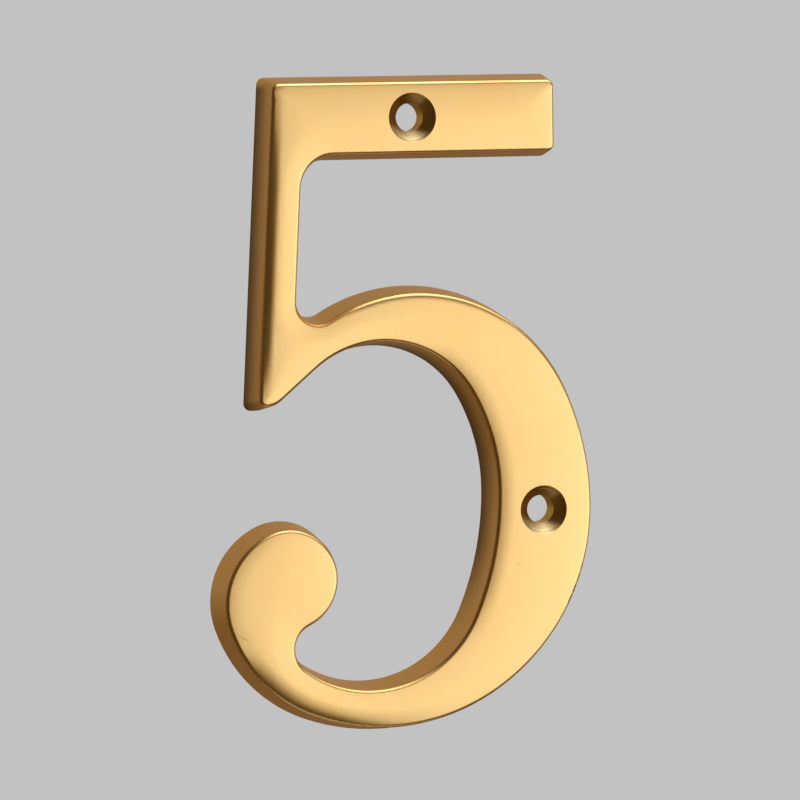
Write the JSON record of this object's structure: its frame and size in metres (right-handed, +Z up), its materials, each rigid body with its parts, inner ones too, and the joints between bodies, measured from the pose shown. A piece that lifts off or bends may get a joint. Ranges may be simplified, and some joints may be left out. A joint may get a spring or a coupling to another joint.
{
  "type": "door number",
  "caption": "Cast brass house number, the figure five with a ball-ended bowl, drafted sides, a hollowed back and countersunk holes for screwing it to a door.",
  "frame": {"origin": "on the flat back that lies on the door, at the lowest point of the bowl", "axes": "+Z up along the figure's height, +X to the right as it is read, -Y out of the door towards the reader"},
  "size_m": [0.0614, 0.0063, 0.1016],
  "materials": {
    "brass": "polished front face, plainer linished sides"
  },
  "bodies": {
    "root": {"numeral": "brass"}
  },
  "joints": []
}
